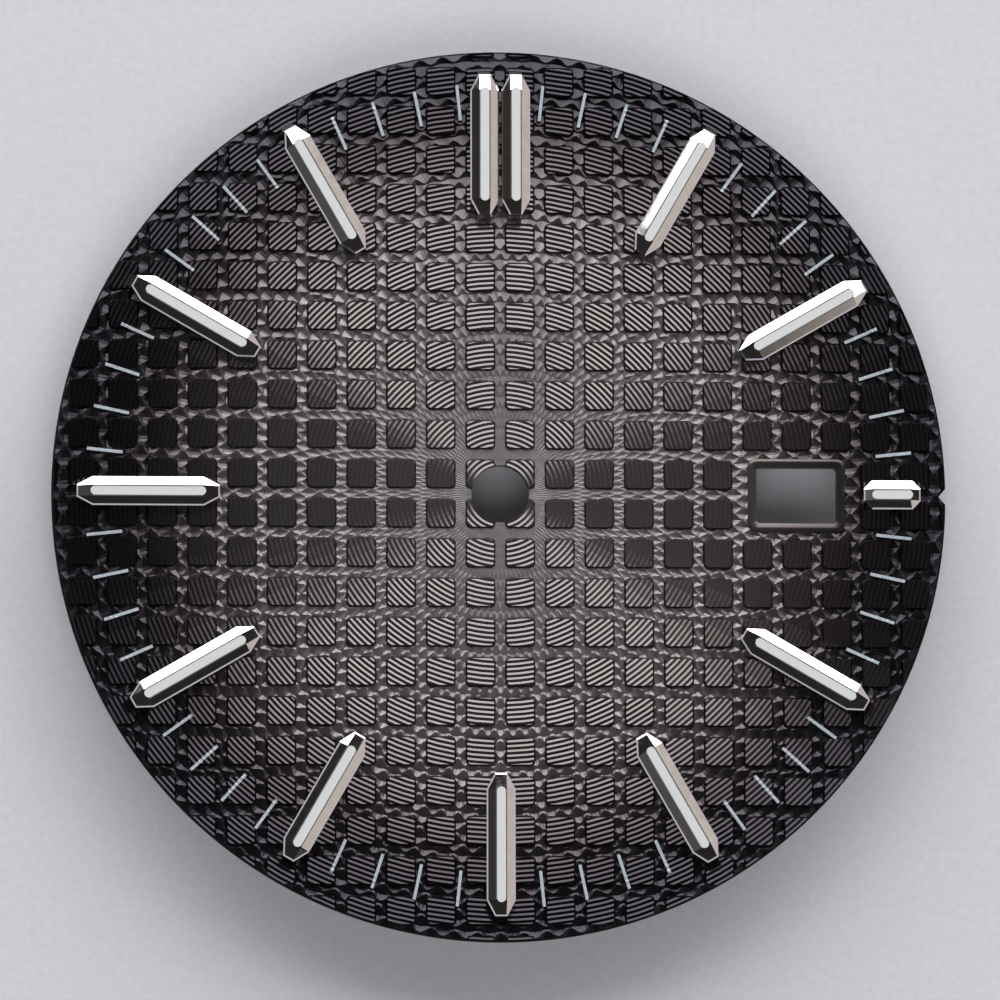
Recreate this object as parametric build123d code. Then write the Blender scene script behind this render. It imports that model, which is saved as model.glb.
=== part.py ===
from build123d import *

import os
from math import ceil, cos, hypot, radians, sin

# A three-hand watch dial with a date window: a stamped brass plate with a waffle of raised square
# tiles, thirteen applied hour markers with pale inlays, printed minute ticks and two feet.
# Millimetres. The origin is on the axis of the centre hole, on the back face of the plate.
# +Z leaves the front of the dial, +Y points to twelve and +X to three.

# Plate
dial_diameter = 31.0
blank_thickness = 0.40            # back face to the floor of the grooves
centre_hole_diameter = 2.0

# Waffle of raised tiles: a groove crossing lies on the centre of the dial
tile_pitch = 1.38
tile_side = 0.99
tile_corner = 0.09                # flat across each corner of a tile, measured along a side
tile_height = 0.10                # groove floor to tile top
edge_land = 0.06                  # plain strip at groove level between the pattern and the rim
least_tile_share = 0.02           # smaller scraps of a tile at the rim are left away

# Date window and the raised frame round it
date_marker_gap = 0.62            # frame to the inner tip of the short marker
date_opening_width = 2.80
date_opening_height = 1.95
date_opening_corner = 0.14
date_frame_width = 0.31           # opening to outer side, seen from the front
date_frame_land = 0.05            # flat top of the frame, outside its bevel
date_frame_corner = 0.30

# Locating notch in the rim at three o'clock
notch_width = 0.56
notch_depth = 0.24

# Long hour marker, lying along +X until it is turned to its hour
marker_length = 4.95
marker_width = 1.00
marker_rim_gap = 0.80             # outer tip to the rim
marker_tip_width = 0.42
marker_taper = 0.55               # length of the narrowing at each end
marker_wall = 0.213               # upright side
marker_skirt_width = 0.05         # narrow steep facet above the wall
marker_skirt_rise = 0.042
marker_bevel_rise = 0.155         # main bevel, up to the flat top
marker_end_bevel = 0.555          # tip to the flat top, seen from the front
marker_pair_gap = 0.09            # between the two markers at twelve

# Short hour marker beside the date window
short_marker_length = 1.98
short_marker_rim_gap = 0.85
short_marker_taper = 0.28
short_marker_end_bevel = 0.365

# Slot and inlay in every marker
slot_width = 0.33
slot_land = 0.03                  # flat strip each side of the slot
slot_end_margin = 0.47            # tip of a long marker to the end of its slot
short_slot_end_margin = 0.27
slot_depth = 0.12
inlay_clearance = 0.01            # inlay to the slot's side
inlay_recess = 0.01               # inlay top below the flat top

# Feet of the markers, in holes through the plate
marker_foot_diameter = 0.40
marker_foot_clearance = 0.015     # foot to hole, radially
marker_foot_margin = 1.075        # tip to the foot's axis
short_marker_foot_margin = 0.49
marker_foot_recess = 0.05         # foot end above the plate's back face

# Printed minute ticks
tick_rim_gap = 1.07               # outer end to the rim
tick_length = 1.24
tick_width = 0.12
ink_thickness = 0.012
hours_round = 12
ticks_per_hour = 5                # steps from one hour to the next

# Feet on the back that fasten the dial to its movement
dial_foot_diameter = 0.70
dial_foot_length = 2.00           # back face to the end
dial_foot_end_chamfer = 0.12
dial_foot_flange_diameter = 1.30
dial_foot_flange_thickness = 0.12
dial_foot_rim_gap = 2.90          # axis to the rim
dial_foot_angles = {"dial_foot_upper": 75, "dial_foot_lower": 225}

# Derived sizes
dial_radius = dial_diameter / 2
tile_top = blank_thickness + tile_height
marker_foot_hole_radius = marker_foot_diameter / 2 + marker_foot_clearance
marker_centre_radius = dial_radius - marker_rim_gap - marker_length / 2
short_marker_centre_radius = dial_radius - short_marker_rim_gap - short_marker_length / 2
date_frame_outer_radius = short_marker_centre_radius - short_marker_length / 2 - date_marker_gap
date_centre_radius = date_frame_outer_radius - date_frame_width - date_opening_width / 2
tick_centre_radius = dial_radius - tick_rim_gap - tick_length / 2
dial_foot_radius = dial_radius - dial_foot_rim_gap
marker_foot_spacing = marker_length - 2 * marker_foot_margin
short_marker_foot_spacing = short_marker_length - 2 * short_marker_foot_margin
crown_width = slot_width + 2 * slot_land
crown_height = marker_wall + marker_skirt_rise + marker_bevel_rise
pair_offset = (marker_width + marker_pair_gap) / 2
hour_step = 360 / hours_round


def clock_angle(hour):
    """Angle from +X, counter-clockwise, of an hour on the dial."""
    return 90 - hour * hour_step


def at_height(face, height):
    return face.moved(Pos(0, 0, height))


# Hour markers

def marker_outline(length, taper, inset):
    """Eight corners of a marker's outline, drawn in from the full one, from the +X end round."""
    half_length = length / 2
    half_width = marker_width / 2
    half_tip = marker_tip_width / 2
    run = hypot(taper, half_width - half_tip)
    normal_x = (half_width - half_tip) / run
    normal_y = taper / run
    reach = normal_x * half_length + normal_y * half_tip - inset
    end_x = half_length - inset
    end_y = (reach - normal_x * end_x) / normal_y
    side_y = half_width - inset
    side_x = (reach - normal_y * side_y) / normal_x
    quarter = [(end_x, end_y), (side_x, side_y)]
    upper = quarter + [(-x, y) for x, y in reversed(quarter)]
    return upper + [(-x, -y) for x, y in upper]


def crown_outline(length, end_bevel):
    """The flat top's four corners, each one twice, so that it pairs with the outline's eight."""
    x = length / 2 - end_bevel
    y = crown_width / 2
    return [(x, y), (x, y), (-x, y), (-x, y), (-x, -y), (-x, -y), (x, -y), (x, -y)]


def polygon_face(corners):
    different = [corner for index, corner in enumerate(corners) if corner != corners[index - 1]]
    return Face(Wire.make_polygon(different))


def stacked_solid(rings):
    """Closed solid of flat faces through outlines of equal counts, given from the lowest up."""
    faces = [polygon_face(rings[0]), polygon_face(rings[-1])]
    for lower, upper in zip(rings, rings[1:]):
        for index in range(len(lower)):
            faces.append(polygon_face([lower[index - 1], lower[index], upper[index], upper[index - 1]]))
    return Solid(Shell(faces))


def marker_slot(length, end_margin, clearance, depth):
    """The slot's shape, hanging down from the flat top, or the inlay's with a clearance."""
    slot = SlotOverall(length - 2 * end_margin - 2 * clearance, slot_width - 2 * clearance)
    return extrude(Pos(0, 0, crown_height) * slot, amount=-depth)


def foot_positions(spacing):
    return [-spacing / 2, spacing / 2]


def marker(length, taper, end_bevel, end_margin, foot_spacing):
    skirt_top = marker_wall + marker_skirt_rise
    levels = [
        (marker_outline(length, taper, 0), 0),
        (marker_outline(length, taper, 0), marker_wall),
        (marker_outline(length, taper, marker_skirt_width), skirt_top),
        (crown_outline(length, end_bevel), crown_height),
    ]
    body = stacked_solid([[Vector(x, y, height) for x, y in outline] for outline, height in levels])
    foot_length = tile_top - marker_foot_recess
    foot = extrude(Circle(marker_foot_diameter / 2), amount=-foot_length)
    feet = [Pos(x, 0, 0) * foot for x in foot_positions(foot_spacing)]
    return body + feet - marker_slot(length, end_margin, 0, slot_depth)


def inlay(length, end_margin):
    block = marker_slot(length, end_margin, inlay_clearance, slot_depth)
    return block - marker_slot(length, end_margin, 0, inlay_recess)


def marker_places():
    """Each hour marker's name, and where its own frame sits on the dial."""
    places = {}
    for hour in range(1, hours_round):
        radius = short_marker_centre_radius if hour == 3 else marker_centre_radius
        places[f"{hour:02d}"] = Rot(0, 0, clock_angle(hour)) * Pos(radius, 0, tile_top)
    for side, name in ((1, "12_left"), (-1, "12_right")):
        places[name] = Rot(0, 0, clock_angle(0)) * Pos(marker_centre_radius, side * pair_offset, tile_top)
    return places


# Plate

def plate_holes():
    """Round holes through the plate, as centre and radius."""
    holes = [((0, 0), centre_hole_diameter / 2)]
    for name, place in marker_places().items():
        spacing = short_marker_foot_spacing if name == "03" else marker_foot_spacing
        for x in foot_positions(spacing):
            centre = (place * Pos(x, 0, 0)).position
            holes.append(((centre.X, centre.Y), marker_foot_hole_radius))
    return holes


def rim_outline(land):
    """The plate's outline with its notch, drawn in by a land."""
    tip = Vector(dial_radius - notch_depth - land, 0)
    mouth = dial_radius + notch_depth
    half_mouth = notch_width / 2 * (mouth - tip.X) / notch_depth
    notch = Polygon((tip.X, 0), (mouth, half_mouth), (mouth, -half_mouth), align=None)
    return Circle(dial_radius - land) - notch


def date_rectangle(width, corner):
    """A rounded rectangle that stands out from the date opening by a width."""
    return Pos(date_centre_radius, 0) * RectangleRounded(
        date_opening_width + 2 * width, date_opening_height + 2 * width, corner)


def tile_centres():
    count = ceil(dial_radius / tile_pitch)
    steps = [index * tile_pitch + tile_pitch / 2 for index in range(-count, count)]
    return [(x, y) for x in steps for y in steps]


def tile_outline(side):
    half = side / 2
    near = half - tile_corner
    quarter = [(half, near), (near, half)]
    upper = quarter + [(-x, y) for x, y in reversed(quarter)]
    corners = upper + [(-x, -y) for x, y in upper]
    return Face(Wire.make_polygon([Vector(x, y) for x, y in corners]))


def on_date_frame(x, y):
    """Whether a tile would reach the date window's frame."""
    half_tile = tile_side / 2
    half_width = date_opening_width / 2 + date_frame_width + half_tile
    half_height = date_opening_height / 2 + date_frame_width + half_tile
    return abs(x - date_centre_radius) < half_width and abs(y) < half_height


def square_distance(x, y, point):
    """How far a point lies from a tile's square; negative is the depth inside it."""
    dx = abs(point[0] - x) - tile_side / 2
    dy = abs(point[1] - y) - tile_side / 2
    return hypot(max(dx, 0), max(dy, 0)) + min(max(dx, dy), 0)


def hole_disk(centre, radius):
    """A hole's round area, at the height of the groove floor."""
    return at_height(Pos(*centre) * Circle(radius).face(), blank_thickness)


def tile_faces(holes):
    """Tiles on the groove floor: the whole ones, those cut by a hole's edge, and the holes inside one."""
    whole = at_height(tile_outline(tile_side), blank_thickness)
    pattern_area = at_height(rim_outline(edge_land).face(), blank_thickness)
    half_tile = tile_side / 2
    tiles = []
    cut_tiles = []
    inner_holes = []
    for x, y in tile_centres():
        if on_date_frame(x, y):
            continue
        if hypot(abs(x) - half_tile, abs(y) - half_tile) >= dial_radius - edge_land:
            continue
        tile = whole.moved(Pos(x, y))
        pieces = [tile]
        at_rim = hypot(abs(x) + half_tile, abs(y) + half_tile) > dial_radius - edge_land - notch_depth
        if at_rim:
            trimmed = tile & pattern_area
            pieces = trimmed.faces() if trimmed else []
        target = tiles
        for centre, radius in holes:
            distance = square_distance(x, y, centre)
            if distance >= radius:
                continue
            pieces = [part for piece in pieces for part in (piece - hole_disk(centre, radius)).faces()]
            if distance <= -radius:
                inner_holes.append((centre, radius))
            else:
                target = cut_tiles
        target += [piece for piece in pieces if piece.area > least_tile_share * whole.area]
    return tiles, cut_tiles, inner_holes


def date_frame():
    """The raised frame: its bevel runs from the flat land down to the edge of the opening."""
    outer = at_height(date_rectangle(date_frame_width, date_frame_corner).face(), blank_thickness)
    block = Solid.extrude(outer, Vector(0, 0, tile_height))
    bevel_width = date_frame_width - date_frame_land
    lower = Pos(0, 0, blank_thickness) * date_rectangle(0, date_opening_corner)
    upper = Pos(0, 0, tile_top) * date_rectangle(bevel_width, date_frame_corner - date_frame_land)
    return block - loft([lower.face(), upper.face()], ruled=True)


def dial_plate():
    """Blank and relief as one closed shell: the tiles and the frame stand on openings in the floor."""
    holes = plate_holes()
    tiles, cut_tiles, inner_holes = tile_faces(holes)
    hole_disks = [Pos(*centre) * Circle(radius) for centre, radius in holes]
    opening = date_rectangle(0, date_opening_corner)
    blank = Solid.extrude((rim_outline(0) - hole_disks - opening).face(), Vector(0, 0, blank_thickness))
    blank_faces = blank.faces().sort_by(Axis.Z)
    frame = date_frame().solid()
    raised = [Solid.extrude(tile, Vector(0, 0, tile_height)) for tile in tiles + cut_tiles] + [frame]
    faces = blank_faces[:-1]
    for solid in raised:
        faces += solid.faces().sort_by(Axis.Z)[1:]
    open_disks = [hole_disk(*hole) for hole in holes if hole not in inner_holes]
    merged = open_disks[0].fuse(*open_disks[1:], *cut_tiles)
    frame_footprint = frame.faces().sort_by(Axis.Z)[0]
    floor_openings = [face.outer_wire() for face in tiles + [frame_footprint] + merged.faces()]
    faces.append(Face(blank_faces[-1].outer_wire(), floor_openings))
    return Solid(Shell(faces))


# Printed ticks

def tick_ink(angle):
    """One printed stroke, which lies down into the grooves and over the tiles it meets."""
    centre_x = tick_centre_radius * cos(radians(angle))
    centre_y = tick_centre_radius * sin(radians(angle))
    stroke = Rot(0, 0, angle) * Pos(tick_centre_radius, 0) * Rectangle(tick_length, tick_width)
    footprint = at_height(stroke.face(), blank_thickness)
    reach = (tick_length + hypot(tile_side, tile_side)) / 2
    near = [(x, y) for x, y in tile_centres() if hypot(x - centre_x, y - centre_y) < reach]
    ink = Solid.extrude(footprint, Vector(0, 0, ink_thickness))
    tile = at_height(tile_outline(tile_side), blank_thickness)
    coated = at_height(tile_outline(tile_side + 2 * ink_thickness), blank_thickness)
    for x, y in near:
        overlap = footprint & coated.moved(Pos(x, y))
        if overlap is not None:
            for piece in overlap.faces():
                ink = ink + Solid.extrude(piece, Vector(0, 0, tile_height + ink_thickness))
    tiles = [Solid.extrude(tile.moved(Pos(x, y)), Vector(0, 0, tile_height)) for x, y in near]
    return ink - tiles


def minute_track():
    tick_step = hour_step / ticks_per_hour
    angles = [index * tick_step for index in range(hours_round * ticks_per_hour) if index % ticks_per_hour]
    return Compound(children=[solid for angle in angles for solid in tick_ink(angle).solids()])


# Feet on the back

def dial_foot():
    """A pin with a welded flange, standing down from the back face."""
    flange = extrude(Circle(dial_foot_flange_diameter / 2), amount=-dial_foot_flange_thickness)
    pin = extrude(Circle(dial_foot_diameter / 2), amount=-dial_foot_length)
    pin = chamfer(pin.edges().sort_by(Axis.Z)[0], dial_foot_end_chamfer)
    return flange + pin


def build_parts():
    parts = {"dial_plate": dial_plate(), "minute_track": minute_track()}
    long_marker = marker(marker_length, marker_taper, marker_end_bevel, slot_end_margin, marker_foot_spacing)
    short_marker = marker(short_marker_length, short_marker_taper, short_marker_end_bevel,
                          short_slot_end_margin, short_marker_foot_spacing)
    long_inlay = inlay(marker_length, slot_end_margin)
    short_inlay = inlay(short_marker_length, short_slot_end_margin)
    for name, place in marker_places().items():
        parts[f"index_{name}"] = place * (short_marker if name == "03" else long_marker)
        parts[f"lume_{name}"] = place * (short_inlay if name == "03" else long_inlay)
    for name, angle in dial_foot_angles.items():
        parts[name] = Rot(0, 0, angle) * Pos(dial_foot_radius, 0, 0) * dial_foot()
    return parts


os.makedirs("parts", exist_ok=True)
for node, shape in build_parts().items():
    export_step(shape, f"parts/{node}.step")
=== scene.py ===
from math import asin, atan2, cos, degrees, floor, hypot, pi, radians, sin

import bmesh
import bpy
from mathutils import Matrix, Vector


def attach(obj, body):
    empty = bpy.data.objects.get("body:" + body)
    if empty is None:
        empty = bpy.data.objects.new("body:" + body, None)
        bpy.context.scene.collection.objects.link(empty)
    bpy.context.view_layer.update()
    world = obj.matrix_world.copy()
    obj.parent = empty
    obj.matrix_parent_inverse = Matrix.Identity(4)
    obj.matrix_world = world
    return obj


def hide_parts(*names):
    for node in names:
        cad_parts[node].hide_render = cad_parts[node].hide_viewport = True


# Watch dial seen from the front: +Z leaves its face, +Y points to twelve.
# Sizes in the dictionaries are millimetres, Blender works in metres.
mm = 0.001

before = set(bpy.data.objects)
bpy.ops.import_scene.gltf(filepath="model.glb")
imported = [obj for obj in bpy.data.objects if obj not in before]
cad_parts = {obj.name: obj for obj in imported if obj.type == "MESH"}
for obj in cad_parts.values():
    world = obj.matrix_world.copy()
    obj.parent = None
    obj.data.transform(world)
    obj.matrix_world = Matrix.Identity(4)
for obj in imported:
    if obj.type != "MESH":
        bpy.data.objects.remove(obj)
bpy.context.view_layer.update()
scene = bpy.context.scene
print("frame loaded:", len(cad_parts), "nodes")


# Helpers

def colour(hexCode):
    channels = [int(hexCode[i:i + 2], 16) / 255 for i in (1, 3, 5)]
    return [c / 12.92 if c <= 0.04045 else ((c + 0.055) / 1.055) ** 2.4 for c in channels] + [1]


def addNode(tree, kind, inputs=None, **settings):
    node = tree.nodes.new(kind)
    for name, value in settings.items():
        setattr(node, name, value)
    for key, value in (inputs or {}).items():
        if isinstance(value, bpy.types.NodeSocket):
            tree.links.new(value, node.inputs[key])
        else:
            node.inputs[key].default_value = value
    return node


def addMath(tree, operation, *values):
    return addNode(tree, "ShaderNodeMath", dict(enumerate(values)), operation=operation).outputs[0]


def newMaterial(name):
    material = bpy.data.materials.new(name)
    material.use_nodes = True
    material.node_tree.nodes.clear()
    return material, material.node_tree


def finishMaterial(tree, shaderInputs):
    shader = addNode(tree, "ShaderNodeBsdfPrincipled", shaderInputs)
    addNode(tree, "ShaderNodeOutputMaterial", {"Surface": shader.outputs[0]})
    return shader


def newPiece(name, verts, faces, material):
    # corners in millimetres, faces wound outwards
    mesh = bpy.data.meshes.new(name)
    mesh.from_pydata([(x * mm, y * mm, z * mm) for x, y, z in verts], [], faces)
    mesh.validate()
    mesh.materials.append(material)
    piece = bpy.data.objects.new(name, mesh)
    scene.collection.objects.link(piece)
    return piece


def handOver(piece, node):
    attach(piece, "root")
    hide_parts(node)


def newTree(name, inputs):
    tree = bpy.data.node_groups.new(name, "GeometryNodeTree")
    tree.interface.new_socket("Geometry", in_out="OUTPUT", socket_type="NodeSocketGeometry")
    for label, kind in inputs:
        tree.interface.new_socket(label, in_out="INPUT", socket_type=kind)
    return tree


def plainMesh(source):
    # what a curve or a modifier leaves, as a mesh of its own
    depsgraph = bpy.context.evaluated_depsgraph_get()
    depsgraph.update()
    return bpy.data.meshes.new_from_object(source.evaluated_get(depsgraph))


def growPiece(name, tree, values):
    # runs a Geometry Nodes tree on an empty mesh and keeps the result as a plain mesh
    piece = bpy.data.objects.new(name, bpy.data.meshes.new(name))
    scene.collection.objects.link(piece)
    modifier = piece.modifiers.new(name, "NODES")
    modifier.node_group = tree
    for socket in tree.interface.items_tree:
        if socket.in_out == "INPUT":
            modifier[socket.identifier] = values[socket.name]
    mesh = plainMesh(piece)
    piece.modifiers.remove(modifier)
    piece.data = mesh
    mesh.name = name
    return piece


def triangles(piece):
    return sum(len(p.vertices) - 2 for p in piece.data.polygons)


# Sizes that several pieces share

dial = {
    "radius": 15.58,
    "blankTop": 0.24,        # the sheet of the cut floor lies on it
    "floorLevel": 0.36,      # middle of the cut floor
    "tileTop": 0.50,
    "patternRadius": 15.51,  # the waffle ends here, short of the rim
    "centreHoleRadius": 1.0,
    "notchWidth": 0.56,
    "notchDepth": 0.24,
}

dateWindow = {
    "centreX": 10.34,
    "width": 2.80,
    "height": 1.95,
    "corner": 0.14,
    "frameWidth": 0.31,
    "frameCorner": 0.30,
    "cornerSteps": 8,
}

tiles = {
    "pitch": 1.38,
    "topSide": 0.925,
    "baseSide": 1.045,       # outline of the dark wall seen from the front
    "shoulder": 0.07,        # drop of the leaning edge, before the wall goes straight down
    "corner": 0.15,
    "cornerSteps": 4,
    "ridgePitch": 0.167,
    "ridgeDepth": 0.0366,    # flanks of about 27 degrees
    "ridgeLand": 0.14,       # share of the pitch that stays flat on top
    "wedge": 4.0,            # degrees that one straight piece of a ridge spans
    "baseSink": 0.11,        # base below the middle of the floor, under its deepest cuts
    "wallLean": 0.8,         # faces that look up less than this are wall, not cut top
    "thinnest": 0.0005,      # slivers narrower than this are left away
    "smallest": 1e-6,        # and cells with less area than this
    "atLimit": 0.004,        # corners this near to the hole or the rim stay on its circle
}


# Materials

def ownPlace(tree):
    return addNode(tree, "ShaderNodeTexCoord").outputs["Object"]


def addNoise(tree, place, size, detail):
    # cloudy noise with blotches of a size in millimetres
    return addNode(tree, "ShaderNodeTexNoise", {
        "Vector": place, "Scale": 1 / (size * mm), "Detail": detail}).outputs["Fac"]


def addBump(tree, height, strength, depth):
    return addNode(tree, "ShaderNodeBump", {
        "Height": height, "Strength": strength, "Distance": depth * mm}).outputs[0]


def radiusFromCentre(tree):
    # millimetres from the axis of the centre hole, on the piece's own coordinates
    place = ownPlace(tree)
    flat = addNode(tree, "ShaderNodeVectorMath", {0: place, 1: (1, 1, 0)}, operation="MULTIPLY").outputs[0]
    length = addNode(tree, "ShaderNodeVectorMath", {0: flat}, operation="LENGTH").outputs["Value"]
    return place, addMath(tree, "DIVIDE", length, mm)


def ramp(tree, factor, stops):
    # stops are (place from 0 to 1, sRGB hex)
    node = addNode(tree, "ShaderNodeValToRGB", {"Fac": factor})
    elements = node.color_ramp.elements
    while len(elements) < len(stops):
        elements.new(1)
    for element, (place, hexCode) in zip(elements, stops):
        element.position = place
        element.color = colour(hexCode)
    return node.outputs["Color"]


nickel = {
    "cloudSize": 2.5,        # soft clouds in the sprayed lacquer
    "cloudShift": 0.04,      # share of the dial's radius by which they move its shading
    "grainSize": 0.05,       # the plating's grain is about 0.03, drawn just coarse enough to show
    "grainDepth": 0.004,
    "grainRoughness": 0.1,
    "fade": (0.15, 0.85),    # shares of the radius between which metal share and roughness change
    "gloss": 0.2,            # specular level of the thin lacquer
}


def smokedNickel(name, stops, metalShare, roughness, grain):
    # Black nickel plate under tinted lacquer, sprayed darker towards the rim: the struck facets
    # stay crisp and mirror the room, and the lacquer lays a faint even veil over them.
    # metalShare and roughness are (at the centre, at the rim).
    material, tree = newMaterial(name)
    place, radius = radiusFromCentre(tree)
    share = addMath(tree, "DIVIDE", radius, dial["radius"])
    cloud = addNoise(tree, place, nickel["cloudSize"], 2)
    wander = addMath(tree, "MULTIPLY_ADD", cloud, nickel["cloudShift"], -nickel["cloudShift"] / 2)
    spread = addMath(tree, "ADD", share, wander)

    def alongRadius(values):
        return addNode(tree, "ShaderNodeMapRange", {
            "Value": spread, "From Min": nickel["fade"][0], "From Max": nickel["fade"][1],
            "To Min": values[0], "To Max": values[1]}).outputs[0]

    fine = addNoise(tree, place, nickel["grainSize"], 2)
    uneven = addMath(tree, "MULTIPLY_ADD", fine, nickel["grainRoughness"], -nickel["grainRoughness"] / 2)
    finishMaterial(tree, {
        "Base Color": ramp(tree, spread, stops), "Metallic": alongRadius(metalShare),
        "Roughness": addMath(tree, "ADD", alongRadius(roughness), uneven),
        "Normal": addBump(tree, fine, grain, nickel["grainDepth"]), "Specular IOR Level": nickel["gloss"]})
    return material


turnedNickel = {
    "ringPitch": 0.12,       # coarser than the tool's own feed, so that the rings show
    "stainSize": 0.4,
    "ringDepth": 0.006,
    "ringStrength": 0.35,
    "roughness": 0.3,
}


def turnedBack():
    # Blank of rolled brass, faced on a lathe and plated dark: fine rings that stretch the light
    material, tree = newMaterial("turnedDarkNickel")
    place, radius = radiusFromCentre(tree)
    ring = addMath(tree, "SINE", addMath(tree, "MULTIPLY", radius, 2 * pi / turnedNickel["ringPitch"]))
    stain = addNoise(tree, place, turnedNickel["stainSize"], 3)
    height = addMath(tree, "ADD", ring, stain)
    finishMaterial(tree, {
        "Base Color": ramp(tree, stain, [(0.3, "#34312f"), (0.7, "#45413e")]), "Metallic": 1,
        "Roughness": turnedNickel["roughness"],
        "Normal": addBump(tree, height, turnedNickel["ringStrength"], turnedNickel["ringDepth"])})
    return material


rhodium = {
    "wipeSize": 0.35,
    "wipeDepth": 0.002,
    "wipeStrength": 0.05,
    "wipeRange": (0.3, 0.75),    # of the noise, from the cleanest to the most wiped
    "roughness": (0.03, 0.09),
}


def polishedRhodium():
    # Diamond-cut and polished rhodium-plated markers: mirror facets with the faintest wipe marks
    material, tree = newMaterial("polishedRhodium")
    wipe = addNoise(tree, ownPlace(tree), rhodium["wipeSize"], 4)
    rough = addNode(tree, "ShaderNodeMapRange", {
        "Value": wipe, "From Min": rhodium["wipeRange"][0], "From Max": rhodium["wipeRange"][1],
        "To Min": rhodium["roughness"][0], "To Max": rhodium["roughness"][1]})
    finishMaterial(tree, {
        "Base Color": ramp(tree, wipe, [(0.3, "#cfcbc6"), (0.7, "#d8d5d1")]), "Metallic": 1,
        "Roughness": rough.outputs[0],
        "Normal": addBump(tree, wipe, rhodium["wipeStrength"], rhodium["wipeDepth"])})
    return material


paste = {
    "grainSize": 0.06,       # powder grains are near 0.02, drawn coarser so that they show
    "grainDepth": 0.01,
    "grainStrength": 0.3,
    "roughness": 0.6,
    "refraction": 1.5,       # of the clear binder
}


def luminousPaste():
    # Luminous paste, powder in clear binder, filled flush and dried: matt, chalky, a little uneven
    material, tree = newMaterial("luminousPaste")
    grains = addNoise(tree, ownPlace(tree), paste["grainSize"], 3)
    finishMaterial(tree, {
        "Base Color": ramp(tree, grains, [(0.3, "#acaeae"), (0.7, "#b3b5b5")]),
        "Roughness": paste["roughness"], "IOR": paste["refraction"],
        "Normal": addBump(tree, grains, paste["grainStrength"], paste["grainDepth"])})
    return material


ink = {"coverSize": 0.09, "roughness": 0.45, "refraction": 1.5}


def printedEnamel():
    # Pad-printed enamel ink, cool white: a thin satin film that covers a little unevenly
    material, tree = newMaterial("printedEnamel")
    cover = addNoise(tree, ownPlace(tree), ink["coverSize"], 2)
    finishMaterial(tree, {
        "Base Color": ramp(tree, cover, [(0.3, "#858d93"), (0.7, "#9ba2a9")]),
        "Roughness": ink["roughness"], "IOR": ink["refraction"]})
    return material


copper = {
    "ringSize": 0.9,
    "ringWander": 0.4,
    "ringDepth": 0.01,
    "ringStrength": 0.25,
    "stainSize": 0.5,
    "roughness": 0.32,
}


def turnedCopper():
    # Drawn copper wire feet, turned to size: warm metal with fine rings along the pin
    material, tree = newMaterial("turnedCopper")
    place = ownPlace(tree)
    rings = addNode(tree, "ShaderNodeTexWave", {
        "Vector": place, "Scale": 1 / (copper["ringSize"] * mm), "Distortion": copper["ringWander"],
        "Detail": 1}, bands_direction="Z")
    stain = addNoise(tree, place, copper["stainSize"], 3)
    finishMaterial(tree, {
        "Base Color": ramp(tree, stain, [(0.35, "#b06f4a"), (0.7, "#c98d64")]), "Metallic": 1,
        "Roughness": copper["roughness"],
        "Normal": addBump(tree, rings.outputs["Fac"], copper["ringStrength"], copper["ringDepth"])})
    return material


acrylic = {
    "toothSize": 0.25,
    "toothDepth": 0.02,
    "toothStrength": 0.2,
    "roughness": 0.85,
    "refraction": 1.49,
    "gloss": 0.1,            # specular level that blasting leaves
}


def paleAcrylic():
    # Blasted acrylic sheet that the dial stands on: pale lilac grey with a fine tooth and no gloss
    material, tree = newMaterial("paleAcrylic")
    tooth = addNoise(tree, ownPlace(tree), acrylic["toothSize"], 3)
    finishMaterial(tree, {
        "Base Color": ramp(tree, tooth, [(0.3, "#acadb1"), (0.7, "#b2b3b8")]),
        "Roughness": acrylic["roughness"], "IOR": acrylic["refraction"],
        "Specular IOR Level": acrylic["gloss"],
        "Normal": addBump(tree, tooth, acrylic["toothStrength"], acrylic["toothDepth"])})
    return material


tileFinish = smokedNickel("smokedNickelTiles", [
    (0.0, "#595454"), (0.5, "#575252"), (0.6, "#504b4b"), (0.71, "#443f40"), (0.81, "#322e2f"),
    (0.89, "#2b282c"), (1.0, "#29272b")], (0.76, 0.95), (0.17, 0.17), 0.05)
# Tile walls: a far darker colour than the tops, painted shade for the shadow that falls on the walls round
# each tile.
tileWallPaintedShade = smokedNickel("paintedShadeTileWalls", [
    (0.0, "#2c2a29"), (0.6, "#262423"), (0.8, "#161415"), (1.0, "#0e0d0f")], (0.6, 0.8), (0.4, 0.35), 0.05)
grooveFinish = smokedNickel("smokedNickelGrooves", [
    (0.0, "#726d6d"), (0.3, "#6d6868"), (0.58, "#686262"), (0.71, "#524c4d"), (0.81, "#383435"),
    (0.92, "#2d2b2f"), (1.0, "#2b292e")], (0.46, 0.9), (0.46, 0.32), 0.1)
frameFinish = smokedNickel("smokedNickelFrame", [
    (0.0, "#504c4b"), (0.6, "#4a4645"), (0.71, "#3f3b3b"), (0.81, "#2e2b2b"), (1.0, "#262528")],
    (0.62, 0.8), (0.3, 0.3), 0.05)
backFinish = turnedBack()
rhodiumFinish = polishedRhodium()
pasteFinish = luminousPaste()
inkFinish = printedEnamel()
copperFinish = turnedCopper()
print("materials made")


# Blank: the plate under the relief

def circlePoints(radius, count, x=0.0, y=0.0):
    turns = [2 * pi * i / count for i in range(count)]
    return [(x + radius * cos(turn), y + radius * sin(turn)) for turn in turns]


def roundedRectangle(x, y, width, height, corner, steps):
    points = []
    for quarter, (sx, sy) in enumerate([(1, 1), (-1, 1), (-1, -1), (1, -1)]):
        for i in range(steps + 1):
            angle = pi / 2 * (quarter + i / steps)
            points.append((x + sx * (width / 2 - corner) + corner * cos(angle),
                           y + sy * (height / 2 - corner) + corner * sin(angle)))
    return points


def windowOutline(grow, corner):
    # outline of the date opening, grown on all sides
    return roundedRectangle(dateWindow["centreX"], 0, dateWindow["width"] + 2 * grow,
                            dateWindow["height"] + 2 * grow, corner, dateWindow["cornerSteps"])


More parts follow.
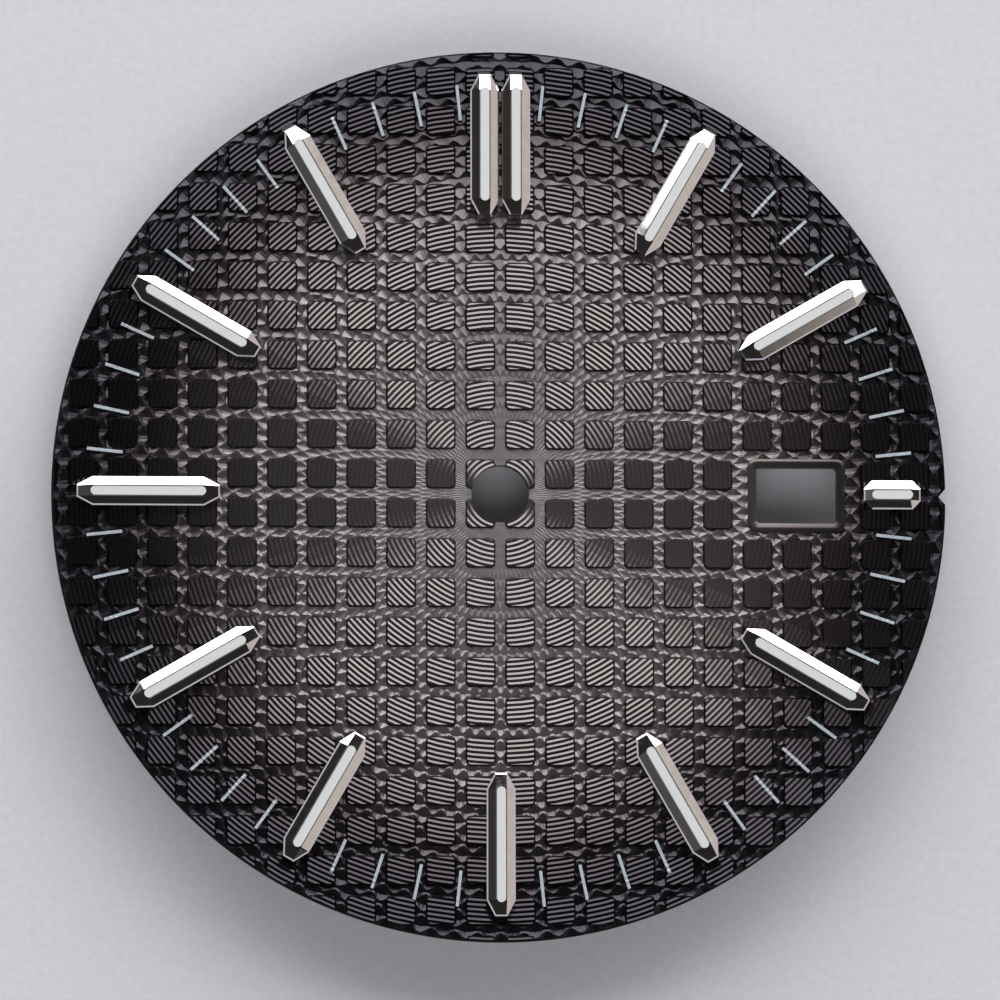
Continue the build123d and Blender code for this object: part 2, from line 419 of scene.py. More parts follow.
def patternNotch():
    # tip of the notch where it cuts the pattern, and the slope of its sides
    tip = dial["patternRadius"] - dial["notchDepth"]
    return tip, atan2(dial["notchWidth"] / 2, dial["notchDepth"])


def rimPoints(radius, count):
    # the rim with its notch at three o'clock
    tip = radius - dial["notchDepth"]
    mouth = asin(dial["notchWidth"] / 2 / radius)
    points = [(tip, 0.0)]
    for i in range(count + 1):
        angle = mouth + (2 * pi - 2 * mouth) * i / count
        points.append((radius * cos(angle), radius * sin(angle)))
    return points


blank = {
    "rimSteps": 360,
    "holeSteps": 96,
    "footHoleRadius": 0.215,
    "footHoleSteps": 24,
    "edgeRounding": 0.012,
    "edgeSteps": 1,
    "weld": 0.0005,               # corners nearer than this become one
    "markerRadius": 12.225,       # middle of a long marker
    "shortMarkerRadius": 13.66,
    "footReach": 1.40,            # marker's middle to the foot's axis
    "shortFootReach": 0.50,
    "pairOffset": 0.545,
}


def footHoles():
    holes = []
    for hour in range(1, 12):
        angle = radians(90 - 30 * hour)
        middle = blank["shortMarkerRadius"] if hour == 3 else blank["markerRadius"]
        reach = blank["shortFootReach"] if hour == 3 else blank["footReach"]
        for radius in (middle - reach, middle + reach):
            holes.append((radius * cos(angle), radius * sin(angle)))
    for side in (-1, 1):
        for reach in (-1, 1):
            holes.append((side * blank["pairOffset"], blank["markerRadius"] + reach * blank["footReach"]))
    return holes


def makeBlank():
    curve = bpy.data.curves.new("dial_blank", "CURVE")
    curve.dimensions = "2D"
    curve.fill_mode = "BOTH"
    loops = [rimPoints(dial["radius"], blank["rimSteps"]),
             circlePoints(dial["centreHoleRadius"], blank["holeSteps"]),
             windowOutline(0, dateWindow["corner"])]
    loops += [circlePoints(blank["footHoleRadius"], blank["footHoleSteps"], x, y) for x, y in footHoles()]
    for loop in loops:
        spline = curve.splines.new("POLY")
        spline.points.add(len(loop) - 1)
        for point, (x, y) in zip(spline.points, loop):
            point.co = (x * mm, y * mm, 0, 1)
        spline.use_cyclic_u = True
    curve.extrude = (dial["blankTop"] / 2 - blank["edgeRounding"]) * mm
    curve.bevel_depth = blank["edgeRounding"] * mm
    curve.bevel_resolution = blank["edgeSteps"]
    curve.offset = -blank["edgeRounding"] * mm
    flat = bpy.data.objects.new("dial_blank_curve", curve)
    scene.collection.objects.link(flat)
    mesh = plainMesh(flat)
    bpy.data.objects.remove(flat)
    piece = bpy.data.objects.new("dial_blank", mesh)
    scene.collection.objects.link(piece)
    mesh.transform(Matrix.Translation((0, 0, dial["blankTop"] / 2 * mm)))
    shell = bmesh.new()
    shell.from_mesh(mesh)
    bmesh.ops.remove_doubles(shell, verts=shell.verts, dist=blank["weld"] * mm)
    bmesh.ops.recalc_face_normals(shell, faces=shell.faces)
    shell.to_mesh(mesh)
    shell.free()
    mesh.materials.clear()
    mesh.materials.append(backFinish)
    return piece


dialBlank = makeBlank()
handOver(dialBlank, "dial_plate")
print("blank:", triangles(dialBlank), "triangles")


# Waffle tiles, with the fine rings cut across their tops

def clip(shape, across, limit):
    # keeps the part of a convex outline whose distance along the direction is at most the limit
    kept = []
    for i, here in enumerate(shape):
        before = shape[i - 1]
        a = before[0] * across[0] + before[1] * across[1] - limit
        b = here[0] * across[0] + here[1] * across[1] - limit
        if (a > 0) != (b > 0):
            t = a / (a - b)
            kept.append((before[0] + t * (here[0] - before[0]), before[1] + t * (here[1] - before[1])))
        if b <= 0:
            kept.append(here)
    return kept


def area(shape):
    return sum(shape[i - 1][0] * p[1] - p[0] * shape[i - 1][1] for i, p in enumerate(shape)) / 2


def clipAtNotch(shape, side):
    tip, slope = patternNotch()
    across = (sin(slope), -side * cos(slope))
    return clip(shape, across, across[0] * tip)


def ridgeHeight(s):
    turn = (s / tiles["ridgePitch"] + tiles["ridgeLand"] / 2) % 1
    fall = max(turn - tiles["ridgeLand"], 0) / (1 - tiles["ridgeLand"])
    return dial["tileTop"] - tiles["ridgeDepth"] * 2 * min(fall, 1 - fall)


def ridgeBreaks(low, high):
    # radii where the slope changes: both edges of each flat crest, and each valley
    land = tiles["ridgeLand"]
    first, last = floor(low / tiles["ridgePitch"]) - 1, floor(high / tiles["ridgePitch"]) + 1
    turns = [ring + part for ring in range(first, last + 1) for part in (-land / 2, land / 2, 0.5)]
    inside = [turn * tiles["ridgePitch"] for turn in turns if low < turn * tiles["ridgePitch"] < high]
    return [low] + inside + [high]


def tileCells(x, y):
    # convex cells of one tile's top: each lies in one wedge, between a crest and a valley
    outline = roundedRectangle(x, y, tiles["topSide"], tiles["topSide"], tiles["corner"],
                               tiles["cornerSteps"])
    if x > dial["radius"] - tiles["pitch"] and abs(y) < tiles["pitch"]:
        outline = clipAtNotch(outline, 1 if y > 0 else -1)
    half = radians(tiles["wedge"]) / 2
    around = [degrees(atan2(py * x - px * y, px * x + py * y)) for px, py in outline]
    middle = degrees(atan2(y, x))
    first = floor((middle + min(around)) / tiles["wedge"])
    last = floor((middle + max(around)) / tiles["wedge"])
    cells = []
    for index in range(first, last + 1):
        turn = radians(index * tiles["wedge"])
        end = turn + 2 * half
        sector = clip(clip(outline, (sin(turn), -cos(turn)), 0), (-sin(end), cos(end)), 0)
        if len(sector) < 3:
            continue
        along = (cos(turn + half) / cos(half), sin(turn + half) / cos(half))
        reach = [p[0] * along[0] + p[1] * along[1] for p in sector]
        low = max(min(reach), dial["centreHoleRadius"])
        high = min(max(reach), dial["patternRadius"])
        if low >= high:
            continue
        breaks = ridgeBreaks(low, high)
        for inner, outer in zip(breaks, breaks[1:]):
            if outer - inner < tiles["thinnest"]:
                continue
            cell = clip(clip(sector, along, outer), (-along[0], -along[1]), -inner)
            if len(cell) >= 3 and area(cell) > tiles["smallest"]:
                cells.append([(p[0], p[1], ridgeHeight(p[0] * along[0] + p[1] * along[1])) for p in cell])
    return cells


def wallFoot(point, x, y):
    # the wall under a top edge leans out first and then goes straight down
    spread = tiles["baseSide"] / tiles["topSide"]
    px, py = x + (point[0] - x) * spread, y + (point[1] - y) * spread
    radius, before = hypot(px, py), hypot(point[0], point[1])
    for limit in (dial["centreHoleRadius"], dial["patternRadius"]):
        if abs(before - limit) < tiles["atLimit"]:
            px, py = px * before / radius, py * before / radius
    return [(px, py, point[2] - tiles["shoulder"]), (px, py, dial["floorLevel"] - tiles["baseSink"])]


def addTile(verts, faces, x, y):
    # top cells share their corners; the edges that only one cell has get a wall and a base
    places = {}
    edges = set()
    tops = []
    for cell in tileCells(x, y):
        loop = []
        for p in cell:
            key = (round(p[0], 4), round(p[1], 4))
            if key not in places:
                places[key] = len(verts)
                verts.append(p)
            if not loop or places[key] != loop[-1]:
                loop.append(places[key])
        if loop[0] == loop[-1]:
            loop.pop()
        if len(loop) >= 3:
            tops.append(loop)
            edges.update((loop[i - 1], loop[i]) for i in range(len(loop)))
    follow = {a: b for a, b in edges if (b, a) not in edges}
    if len(follow) < 3:
        return
    faces += tops
    edge, base = {}, {}
    for a in follow:
        edge[a], base[a] = len(verts), len(verts) + 1
        verts += wallFoot(verts[a], x, y)
    for a, b in follow.items():
        faces.append([edge[a], edge[b], b, a])
        faces.append([base[a], base[b], edge[b], edge[a]])
    left = set(follow)
    while left:
        start = left.pop()
        loop = [start]
        here = follow[start]
        while here != start and here in left:
            left.remove(here)
            loop.append(here)
            here = follow[here]
        faces.append([base[a] for a in reversed(loop)])


def onDateFrame(x, y):
    half = tiles["baseSide"] / 2
    return (abs(x - dateWindow["centreX"]) < dateWindow["width"] / 2 + dateWindow["frameWidth"] + half
            and abs(y) < dateWindow["height"] / 2 + dateWindow["frameWidth"] + half)


def makeTiles():
    verts, faces = [], []
    count = floor(dial["radius"] / tiles["pitch"]) + 1
    half = tiles["topSide"] / 2
    for column in range(-count, count):
        for row in range(-count, count):
            x, y = (column + 0.5) * tiles["pitch"], (row + 0.5) * tiles["pitch"]
            if hypot(abs(x) - half, abs(y) - half) < dial["patternRadius"] and not onDateFrame(x, y):
                addTile(verts, faces, x, y)
    piece = newPiece("waffle_tiles", verts, faces, tileFinish)
    piece.data.materials.append(tileWallPaintedShade)
    for face in piece.data.polygons:
        # walls get the second material, whose dark colour is painted shade
        face.material_index = 1 if face.normal.z < tiles["wallLean"] else 0
    return piece


waffleTiles = makeTiles()
handOver(waffleTiles, "dial_plate")
print("tiles:", triangles(waffleTiles), "triangles")


# Groove floor: barleycorn points, cut ring by ring on a dividing head

barley = {
    "wavesRound": 120,
    "stepsPerWave": 6,
    "ringPitch": 0.3706,     # from one wavy cut to the next, staggered one
    "waveHeight": 0.11,      # how far a cut swings out and in
    "crestLevel": 0.415,
    "steepShare": 0.36,      # share of each furrow taken by its steep outer side
    "depthShare": 0.25,      # depth of a furrow, as a share of its width
    "leanShare": 0.8,        # how much a furrow loses where its wave runs aslant
    "centreShare": 0.55,     # share of that depth left next to the centre hole
    "fullRadius": 7.0,       # full depth from here outwards
    "unevenness": 0.06,      # how far the struck metal strays from the cut, at most half of it each way
    "unevenSize": 0.4,
    "edgeSink": 0.01,        # how far the sheet's edges reach into the blank
    "weld": 0.001,
}


def barleyTree():
    tree = newTree("barleycornFloor", [
        ("Waves round", "NodeSocketInt"), ("Steps per wave", "NodeSocketInt"),
        ("First ring", "NodeSocketInt"), ("Rings", "NodeSocketInt"),
        ("Ring pitch", "NodeSocketFloat"), ("Wave height", "NodeSocketFloat"),
        ("Crest level", "NodeSocketFloat"), ("Steep share", "NodeSocketFloat"),
        ("Depth share", "NodeSocketFloat"), ("Lean share", "NodeSocketFloat"),
        ("Centre share", "NodeSocketFloat"),
        ("Full radius", "NodeSocketFloat"), ("Unevenness", "NodeSocketFloat"),
        ("Uneven size", "NodeSocketFloat"), ("Inner radius", "NodeSocketFloat"),
        ("Outer radius", "NodeSocketFloat"), ("Material", "NodeSocketMaterial")])
    given = addNode(tree, "NodeGroupInput").outputs

    def plus(a, b):
        return addMath(tree, "ADD", a, b)

    def times(a, b):
        return addMath(tree, "MULTIPLY", a, b)

    # flat grid one unit apart: columns run round the dial, rows go crest, furrow, crest outwards
    columns = times(given["Waves round"], given["Steps per wave"])
    rows = plus(times(given["Rings"], 2), 1)
    lastRow = plus(rows, -1)
    grid = addNode(tree, "GeometryNodeMeshGrid", {
        "Size X": columns, "Size Y": lastRow, "Vertices X": plus(columns, 1), "Vertices Y": rows})
    flat = addNode(tree, "ShaderNodeSeparateXYZ", {0: addNode(tree, "GeometryNodeInputPosition").outputs[0]})
    column = addMath(tree, "ROUND", plus(flat.outputs[0], times(columns, 0.5)))
    row = addMath(tree, "ROUND", plus(flat.outputs[1], times(lastRow, 0.5)))
    # each ring is a furrow and the wavy crest outside it; the waves of neighbours are staggered
    isFurrow = addMath(tree, "SUBTRACT", 1.0, addMath(tree, "MODULO", row, 2.0))
    ring = plus(given["First ring"], addMath(tree, "FLOOR", times(row, 0.5)))
    turn = addMath(tree, "DIVIDE", times(column, 2 * pi), columns)
    wave = addMath(tree, "COSINE", plus(times(turn, given["Waves round"]), times(ring, pi)))
    swing = times(wave, given["Wave height"])
    crest = plus(times(plus(ring, 0.5), given["Ring pitch"]), swing)
    width = plus(given["Ring pitch"], times(swing, 2))
    radius = addMath(tree, "SUBTRACT", crest, times(times(width, given["Steep share"]), isFurrow))
    # the cutter leans with the wave, so that furrows get shallower towards the centre
    lean = addMath(tree, "DIVIDE", times(given["Wave height"], given["Waves round"]), radius)
    across = addMath(tree, "SQRT", plus(addMath(tree, "POWER", times(lean, given["Lean share"]), 2.0), 1))
    fade = addNode(tree, "ShaderNodeMapRange", {
        "Value": radius, "From Min": given["Inner radius"], "From Max": given["Full radius"],
        "To Min": given["Centre share"], "To Max": 1.0}).outputs[0]
    depth = times(addMath(tree, "DIVIDE", times(width, given["Depth share"]), across), times(fade, isFurrow))
    bounded = addNode(tree, "ShaderNodeClamp", {
        0: radius, 1: given["Inner radius"], 2: given["Outer radius"]}).outputs[0]
    sides = {0: times(bounded, addMath(tree, "COSINE", turn)), 1: times(bounded, addMath(tree, "SINE", turn))}
    stray = addNode(tree, "ShaderNodeTexNoise", {
        "Vector": addNode(tree, "ShaderNodeCombineXYZ", sides).outputs[0],
        "Scale": addMath(tree, "DIVIDE", 1.0, given["Uneven size"]), "Detail": 1})
    lift = times(plus(stray.outputs[0], -0.5), times(given["Unevenness"], fade))
    level = plus(addMath(tree, "SUBTRACT", given["Crest level"], depth), lift)
    place = addNode(tree, "ShaderNodeCombineXYZ", {**sides, 2: level})
    # a face goes when all its corners lie beyond the centre hole or beyond the rim
    kept = grid
    for side, limit in (("LESS_THAN", "Inner radius"), ("GREATER_THAN", "Outer radius")):
        beyond = addNode(tree, "GeometryNodeFieldOnDomain", {
            0: addMath(tree, side, radius, given[limit])}, data_type="BOOLEAN", domain="POINT")
        kept = addNode(tree, "GeometryNodeStoreNamedAttribute", {
            "Geometry": kept.outputs[0], "Name": side.lower(), "Value": beyond.outputs[0]},
            data_type="BOOLEAN", domain="FACE")
    wrapped = addNode(tree, "GeometryNodeSetPosition", {
        "Geometry": kept.outputs[0], "Position": place.outputs[0]})
    for side in ("less_than", "greater_than"):
        marked = addNode(tree, "GeometryNodeInputNamedAttribute", {"Name": side}, data_type="BOOLEAN")
        wrapped = addNode(tree, "GeometryNodeDeleteGeometry", {
            "Geometry": wrapped.outputs[0], "Selection": marked.outputs[0]}, domain="FACE")
        wrapped = addNode(tree, "GeometryNodeRemoveAttribute", {"Geometry": wrapped.outputs[0], "Name": side})
    closed = addNode(tree, "GeometryNodeMergeByDistance", {
        "Geometry": wrapped.outputs[0], "Distance": barley["weld"] * mm})
    dressed = addNode(tree, "GeometryNodeSetMaterial", {
        "Geometry": closed.outputs[0], "Material": given["Material"]})
    addNode(tree, "NodeGroupOutput", {0: dressed.outputs[0]})
    return tree


def cutOut(shell, centre, reach, planes):
    # removes what lies inside all the planes, given as a point and the normal that leads out of them
    def isNear(face):
        offset = face.calc_center_median() - centre
        return abs(offset.x) < reach and abs(offset.y) < reach

    for point, normal in planes:
        near = [face for face in shell.faces if isNear(face)]
        parts = near + list({edge for face in near for edge in face.edges})
        parts += list({vert for face in near for vert in face.verts})
        bmesh.ops.bisect_plane(shell, geom=parts, dist=1e-8, plane_co=point, plane_no=normal)
    gone = [face for face in shell.faces if isNear(face)
            and all((face.calc_center_median() - point).dot(normal) < 0 for point, normal in planes)]
    bmesh.ops.delete(shell, geom=gone, context="FACES")


def settleOrder(parts, place):
    # the cuts leave corners and faces in another order each run, so they get one from their places
    for number, part in enumerate(sorted(parts, key=place)):
        part.index = number
    parts.sort()


def openSheet(piece, halfWidth, halfHeight):
    # opens the sheet under the middle of the date frame and at the rim's notch, and gives it edges
    shell = bmesh.new()
    shell.from_mesh(piece.data)
    centre = Vector((dateWindow["centreX"] * mm, 0, 0))
    sides = [(1, 0, halfWidth), (-1, 0, halfWidth), (0, 1, halfHeight), (0, -1, halfHeight)]
    normals = [(Vector((nx, ny, 0)), distance * mm) for nx, ny, distance in sides]
    cutOut(shell, centre, dateWindow["width"] * mm, [(centre + n * distance, n) for n, distance in normals])
    radius, slope = patternNotch()
    tip = Vector((radius, 0, 0)) * mm
    normals = [Vector((-sin(slope), side * cos(slope), 0)) for side in (1, -1)]
    cutOut(shell, tip, dial["notchWidth"] * mm, [(tip, normal) for normal in normals])
    rims = [edge for edge in shell.edges if edge.is_boundary]
    walls = bmesh.ops.extrude_edge_only(shell, edges=rims)["geom"]
    for vert in walls:
        if isinstance(vert, bmesh.types.BMVert):
            vert.co.z = (dial["blankTop"] - barley["edgeSink"]) * mm
    bmesh.ops.recalc_face_normals(shell, faces=shell.faces)
    largest = max(shell.faces, key=lambda face: face.calc_area())
    if largest.normal.z < 0:
        bmesh.ops.reverse_faces(shell, faces=shell.faces)
    settleOrder(shell.verts, lambda vert: tuple(vert.co))
    settleOrder(shell.faces, lambda face: tuple(face.calc_center_median()))
    shell.to_mesh(piece.data)
    shell.free()


firstRing = floor(dial["centreHoleRadius"] / barley["ringPitch"]) - 1
grooveFloor = growPiece("groove_floor", barleyTree(), {
    "Waves round": barley["wavesRound"],
    "Steps per wave": barley["stepsPerWave"],
    "First ring": firstRing,
    "Rings": floor(dial["patternRadius"] / barley["ringPitch"]) + 2 - firstRing,
    "Ring pitch": barley["ringPitch"] * mm,
    "Wave height": barley["waveHeight"] * mm,
    "Crest level": barley["crestLevel"] * mm,
    "Steep share": barley["steepShare"],
    "Depth share": barley["depthShare"],
    "Lean share": barley["leanShare"],
    "Centre share": barley["centreShare"],
    "Full radius": barley["fullRadius"] * mm,
    "Unevenness": barley["unevenness"] * mm,
    "Uneven size": barley["unevenSize"] * mm,
    "Inner radius": dial["centreHoleRadius"] * mm,
    "Outer radius": dial["patternRadius"] * mm,
    "Material": grooveFinish,
})
frameMiddle = dateWindow["frameWidth"] / 2
openSheet(grooveFloor, dateWindow["width"] / 2 + frameMiddle, dateWindow["height"] / 2 + frameMiddle)
handOver(grooveFloor, "dial_plate")
print("groove floor:", triangles(grooveFloor), "triangles")


# Date window's raised frame

raisedFrame = {
    # (inwards from the outer edge, below the tops of the tiles), over the rounded outer side
    "outerSide": [(0, 0.07), (0.015, 0.05), (0.06, 0.02), (0.10, 0.004), (0.125, 0), (0.155, 0.006)],
    # (outwards from the opening, below the tops of the tiles), at the end of the long inner slope
    "openingEdge": [(0.02, 0.058), (0.006, 0.067), (0, 0.084)],
}


def makeDateFrame():
    out = dateWindow["frameWidth"]
    low, top = dial["floorLevel"] - tiles["baseSink"], dial["tileTop"]
    section = [(out, low)] + [(out - inwards, top - drop) for inwards, drop in raisedFrame["outerSide"]]
    section += [(outwards, top - drop) for outwards, drop in raisedFrame["openingEdge"]] + [(0, low)]
    start, end = dateWindow["corner"], dateWindow["frameCorner"]
    verts, faces = [], []
    for grow, z in section:
        loop = windowOutline(grow, start + (end - start) * grow / out)
        verts += [(x, y, z) for x, y in loop]
    count = len(verts) // len(section)
    for ring in range(len(section)):
        after = (ring + 1) % len(section)
        for i in range(count):
            j = (i + 1) % count
            faces.append([ring * count + i, ring * count + j, after * count + j, after * count + i])
    piece = newPiece("date_frame", verts, faces, frameFinish)
    piece.data.shade_smooth()
    return piece


dateFrame = makeDateFrame()
handOver(dateFrame, "dial_plate")
print("date frame:", triangles(dateFrame), "triangles")


# Printed minute ticks, laid over the tiles and down into the grooves

minuteTrack = {
    "middleRadius": 13.81,
    "length": 1.24,
    "width": 0.105,
    "ink": 0.012,
    "bridgeLevel": 0.474,        # the ink bridges whatever lies lower, so that its face is nearly flat
    "stepsAlong": 46,
    "stepsAcross": 3,
    "ticks": 60,
    "hourEvery": 5,
    "dropFrom": 2,               # rays start above the dial and reach below it
    "dropReach": 5,
}


def tickTree():
    tree = newTree("printedTicks", [
        ("Ticks", "NodeSocketInt"), ("Hour every", "NodeSocketInt"), ("Radius", "NodeSocketFloat"),
        ("Length", "NodeSocketFloat"), ("Width", "NodeSocketFloat"), ("Ink", "NodeSocketFloat"),
        ("Bridge level", "NodeSocketFloat"), ("Drop from", "NodeSocketFloat"),
        ("Drop reach", "NodeSocketFloat"), ("Steps along", "NodeSocketInt"),
        ("Steps across", "NodeSocketInt"),
        ("Tiles", "NodeSocketObject"), ("Floor", "NodeSocketObject"), ("Material", "NodeSocketMaterial")])
    given = addNode(tree, "NodeGroupInput").outputs
    # a thin closed box, turned to its minute; hours have markers instead
    size = addNode(tree, "ShaderNodeCombineXYZ", {0: given["Length"], 1: given["Width"], 2: given["Ink"]})
    box = addNode(tree, "GeometryNodeMeshCube", {
        "Size": size.outputs[0], "Vertices X": given["Steps along"], "Vertices Y": given["Steps across"],
        "Vertices Z": 2})
    outward = addNode(tree, "ShaderNodeCombineXYZ", {0: given["Radius"]})
    tick = addNode(tree, "GeometryNodeTransform", {
        "Geometry": box.outputs[0], "Translation": outward.outputs[0]})
    minutes = addNode(tree, "GeometryNodeMeshLine", {"Count": given["Ticks"], "Offset": (0, 0, 0)})
    index = addNode(tree, "GeometryNodeInputIndex").outputs[0]
    isMinute = addMath(tree, "GREATER_THAN", addMath(tree, "MODULO", index, given["Hour every"]), 0.5)
    turn = addMath(tree, "MULTIPLY", index, addMath(tree, "DIVIDE", 2 * pi, given["Ticks"]))
    rotation = addNode(tree, "ShaderNodeCombineXYZ", {2: turn})
    circle = addNode(tree, "GeometryNodeInstanceOnPoints", {
        "Points": minutes.outputs[0], "Selection": isMinute, "Instance": tick.outputs[0],
        "Rotation": rotation.outputs[0]})
    solid = addNode(tree, "GeometryNodeRealizeInstances", {0: circle.outputs[0]})
    # drop each point of the ink on to the relief below it
    relief = addNode(tree, "GeometryNodeJoinGeometry")
    for name in ("Tiles", "Floor"):
        source = addNode(tree, "GeometryNodeObjectInfo", {"Object": given[name]})
        tree.links.new(source.outputs["Geometry"], relief.inputs[0])
    here = addNode(tree, "GeometryNodeInputPosition").outputs[0]
    parts = addNode(tree, "ShaderNodeSeparateXYZ", {0: here})
    above = addNode(tree, "ShaderNodeCombineXYZ", {
        0: parts.outputs[0], 1: parts.outputs[1], 2: given["Drop from"]})
    ray = addNode(tree, "GeometryNodeRaycast", {
        "Target Geometry": relief.outputs[0], "Source Position": above.outputs[0],
        "Ray Direction": (0, 0, -1), "Ray Length": given["Drop reach"]})
    landed = addNode(tree, "ShaderNodeSeparateXYZ", {0: ray.outputs["Hit Position"]}).outputs[2]
    # the face of the ink, half a layer above the box's middle, also spans the hollows
    bridged = addMath(tree, "SUBTRACT", addMath(tree, "MAXIMUM", landed, given["Bridge level"]), landed)
    raised = addMath(tree, "MULTIPLY", bridged, addMath(tree, "GREATER_THAN", parts.outputs[2], 0.0))
    height = addMath(tree, "ADD", addMath(tree, "ADD", landed, raised), parts.outputs[2])
    laid = addNode(tree, "ShaderNodeCombineXYZ", {0: parts.outputs[0], 1: parts.outputs[1], 2: height})
    draped = addNode(tree, "GeometryNodeSetPosition", {
        "Geometry": solid.outputs[0], "Position": laid.outputs[0]})
    dressed = addNode(tree, "GeometryNodeSetMaterial", {
        "Geometry": draped.outputs[0], "Material": given["Material"]})
    addNode(tree, "NodeGroupOutput", {0: dressed.outputs[0]})
    return tree


printedTicks = growPiece("printed_ticks", tickTree(), {
    "Ticks": minuteTrack["ticks"],
    "Hour every": minuteTrack["hourEvery"],
    "Radius": minuteTrack["middleRadius"] * mm,
    "Length": minuteTrack["length"] * mm,
    "Width": minuteTrack["width"] * mm,
    "Ink": 2 * minuteTrack["ink"] * mm,
    "Bridge level": minuteTrack["bridgeLevel"] * mm,
    "Drop from": minuteTrack["dropFrom"] * mm,
    "Drop reach": minuteTrack["dropReach"] * mm,
    "Steps along": minuteTrack["stepsAlong"],
    "Steps across": minuteTrack["stepsAcross"],
    "Tiles": waffleTiles,
    "Floor": grooveFloor,
    "Material": inkFinish,
})
handOver(printedTicks, "minute_track")
print("ticks:", triangles(printedTicks), "triangles")


# The CAD pieces whose shape is right: markers, inlays and feet

finishes = {"index": rhodiumFinish, "lume_": pasteFinish, "dial_foot": copperFinish}
for name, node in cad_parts.items():
    for start, material in finishes.items():
        if name.startswith(start):
            for slot in node.material_slots:
                slot.material = material
print("markers, inlays and feet dressed")


# Floor, light and camera

studio = {
    "floorSide": 6000,
    "floorLevel": -2.0,          # ends of the dial's feet
    "boxDistance": 400,          # an upright softbox on the table's far side, beyond twelve
    "boxLeft": -347,
    "boxRight": 442,
    "boxHeight": 480,
    "boxTilt": -90,              # degrees: upright, facing the dial
    "boxRadiance": 6.2,
    "fillSize": 260,             # a round fill in front of the dial, for the shadow on the table
    "fillPlace": (0, -200, 300),
    "fillTilt": 33.7,
    "fillRadiance": 4.1,
    "leftSooner": 1.13,          # the softbox ends nearer on the left, by this factor
    "cardLean": 0.2,             # the right card's top edge sinks towards twelve
    "glowLean": 0.1,             # the lower edge of the softbox's glow sinks to the right
    "shade": "#2e2e2e",          # whatever isn't lit
}

# The walls of the room: radiance, tint, and the bands of direction that they fill. A band names a
# measure of the direction, then where the light is out and where it is full. x, y and z run from -1
# to 1; left and aside are the way to the left and to either side, as seen along the table.
room = {
    "ceiling": (0.2, "#ffffff", [("z", 0.9, 0.96)]),
    "coving": (0.09, "#ffffff", [("z", 0.58, 0.66), ("z", 0.8, 0.74)]),
    "leftWall": (0.15, "#ffffff", [("x", -0.4, -0.7), ("z", 0.45, 0.62)]),
    "rightCard": (1.0, "#dcd3cd", [("x", 0.54, 0.58), ("cardHeight", 0.52, 0.49)]),
    "farWall": (0.75, "#f2f0ff", [("z", 0.312, 0.295)]),
    "boxGlow": (4.9, "#ffffff", [("aside", 0.966, 0.7), ("aside", 0.735, 0.75), ("y", 0, 0.02),
                                 ("glowHeight", 0.43, 0.48), ("z", 0.76, 0.7)]),
    "boxCorner": (studio["boxRadiance"], "#ffffff", [("left", 0.65, 0.66), ("left", 0.757, 0.747),
                                                     ("y", 0, 0.02), ("z", 0.5, 0.49)]),
}

half = studio["floorSide"] / 2
tableTop = newPiece("table_top", [(-half, -half, studio["floorLevel"]), (half, -half, studio["floorLevel"]),
                                  (half, half, studio["floorLevel"]), (-half, half, studio["floorLevel"])],
                    [[0, 1, 2, 3]], paleAcrylic())


def addLamp(name, shape, sizes, radiance, place, tilt):
    # a panel that the camera doesn't see, as bright as its radiance says whatever its size
    light = bpy.data.lights.new(name, "AREA")
    light.shape = shape
    light.size = sizes[0] * mm
    lit = pi / 4 * light.size ** 2
    if shape == "RECTANGLE":
        light.size_y = sizes[1] * mm
        lit = light.size * light.size_y
    light.energy = radiance * pi * lit
    lamp = bpy.data.objects.new(name, light)
    scene.collection.objects.link(lamp)
    lamp.location = Vector(place) * mm
    lamp.rotation_euler = (radians(tilt), 0, 0)
    lamp.visible_camera = False
    return lamp


addLamp("softbox_twelve", "RECTANGLE", [studio["boxRight"] - studio["boxLeft"], studio["boxHeight"]],
        studio["boxRadiance"],
        ((studio["boxRight"] + studio["boxLeft"]) / 2, studio["boxDistance"], studio["boxHeight"] / 2),
        studio["boxTilt"])
fillLamp = addLamp("fill_six", "DISK", [studio["fillSize"]], studio["fillRadiance"], studio["fillPlace"],
                   studio["fillTilt"])
fillLamp.visible_glossy = False   # it lights matt surfaces only


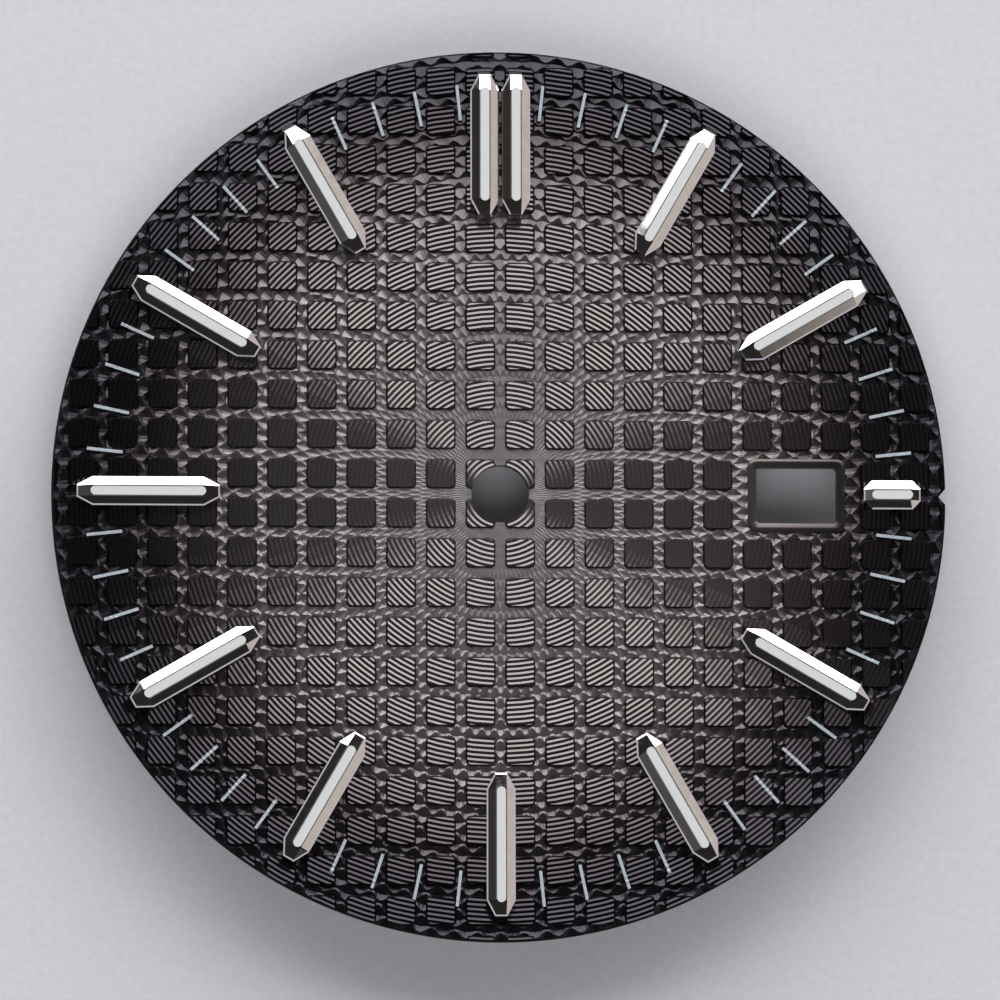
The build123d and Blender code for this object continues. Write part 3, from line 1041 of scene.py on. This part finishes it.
def studioWorld():
    world = bpy.data.worlds.new("studioWalls")
    world.use_nodes = True
    tree = world.node_tree
    tree.nodes.clear()
    way = addNode(tree, "ShaderNodeSeparateXYZ", {
        0: addNode(tree, "ShaderNodeTexCoord").outputs["Generated"]})
    x, y, z = way.outputs

    def times(a, b):
        return addMath(tree, "MULTIPLY", a, b)

    level = addMath(tree, "SQRT", addMath(tree, "SUBTRACT", 1, times(z, z)))
    sideways = addMath(tree, "MAXIMUM", x, times(x, -studio["leftSooner"]))
    measures = {
        "x": x, "y": y, "z": z,
        "left": addMath(tree, "DIVIDE", times(x, -1), level),
        "aside": addMath(tree, "DIVIDE", sideways, level),
        "cardHeight": addMath(tree, "ADD", z, times(y, studio["cardLean"])),
        "glowHeight": addMath(tree, "ADD", z, times(x, studio["glowLean"])),
    }
    # where walls overlap, each channel takes the brighter one
    total = colour(studio["shade"])[:3]
    for radiance, tint, bands in room.values():
        amount = radiance
        for measure, out, full in bands:
            amount = times(addNode(tree, "ShaderNodeMapRange", {
                "Value": measures[measure], "From Min": out, "From Max": full},
                interpolation_type="SMOOTHSTEP").outputs[0], amount)
        wall = addNode(tree, "ShaderNodeVectorMath", {
            0: colour(tint)[:3], "Scale": amount}, operation="SCALE").outputs[0]
        total = addNode(tree, "ShaderNodeVectorMath", {
            0: total, 1: wall}, operation="MAXIMUM").outputs[0]
    lit = addNode(tree, "ShaderNodeBackground", {"Color": total, "Strength": 1.0})
    addNode(tree, "ShaderNodeOutputWorld", {"Surface": lit.outputs[0]})
    return world


scene.world = studioWorld()

camera = {
    "place": (-15.934, -29.376, 259.046),
    "target": (-0.013, -0.227, 0.5),
    "roll": -0.075,              # degrees
    "lens": 270.11,
    "sensor": 36,                # wide, on a square frame
    "clip": (0.01, 20),          # metres
}


def addCamera():
    data = bpy.data.cameras.new("photo_camera")
    data.sensor_width = camera["sensor"]
    data.lens = camera["lens"]
    data.clip_start, data.clip_end = camera["clip"]
    view = bpy.data.objects.new("photo_camera", data)
    scene.collection.objects.link(view)
    place, target = Vector(camera["place"]) * mm, Vector(camera["target"]) * mm
    back = (place - target).normalized()
    right = Vector((0, 1, 0)).cross(back).normalized()
    up = back.cross(right)
    turn = radians(camera["roll"])
    right, up = right * cos(turn) + up * sin(turn), up * cos(turn) - right * sin(turn)
    view.matrix_world = Matrix((right, up, back)).transposed().to_4x4()
    view.location = place
    scene.camera = view


addCamera()
scene.view_settings.view_transform = "Standard"
print("studio set")
